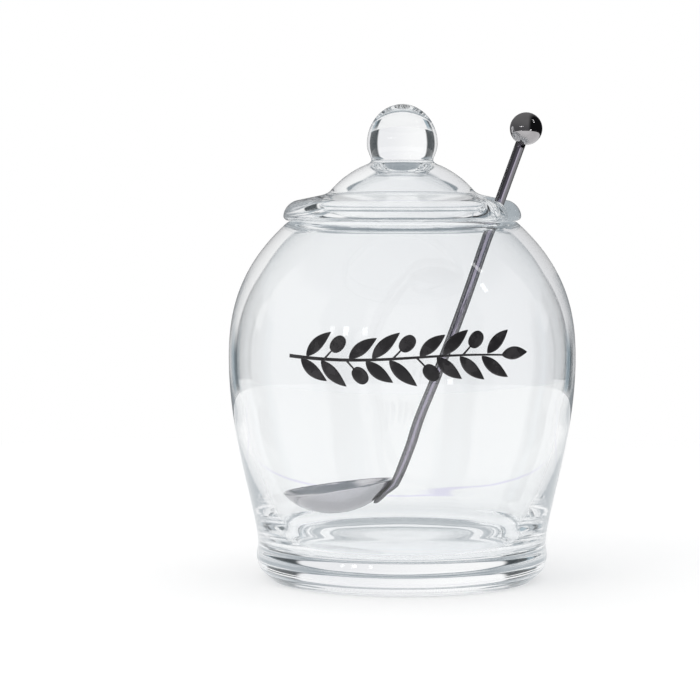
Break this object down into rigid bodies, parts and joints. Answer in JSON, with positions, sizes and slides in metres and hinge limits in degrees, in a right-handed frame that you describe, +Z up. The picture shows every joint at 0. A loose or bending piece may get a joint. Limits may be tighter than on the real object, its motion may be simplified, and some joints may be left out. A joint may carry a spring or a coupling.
{
  "type": "lidded glass olive jar with spoon",
  "caption": "Round-bellied clear glass serving jar with a domed, knobbed lid, notched for the rod of a ball-ended steel spoon that rests inside.",
  "frame": {"origin": "centre of the jar's foot, on the face it stands on", "axes": "+Z up the jar's axis; -Y is the front, where the ornament is; +X to the right"},
  "size_m": [0.1022, 0.1022, 0.1397],
  "materials": {
    "jar_glass": "clear, fire-polished",
    "lid_glass": "clear, fire-polished",
    "spoon_steel": "polished stainless steel",
    "jar_print": "fired black enamel ornament"
  },
  "bodies": {
    "root": {"jar": "jar_glass", "lid": "lid_glass", "spoon_bowl": "spoon_steel", "spoon_rod": "spoon_steel", "spoon_ball": "spoon_steel"}
  },
  "joints": []
}
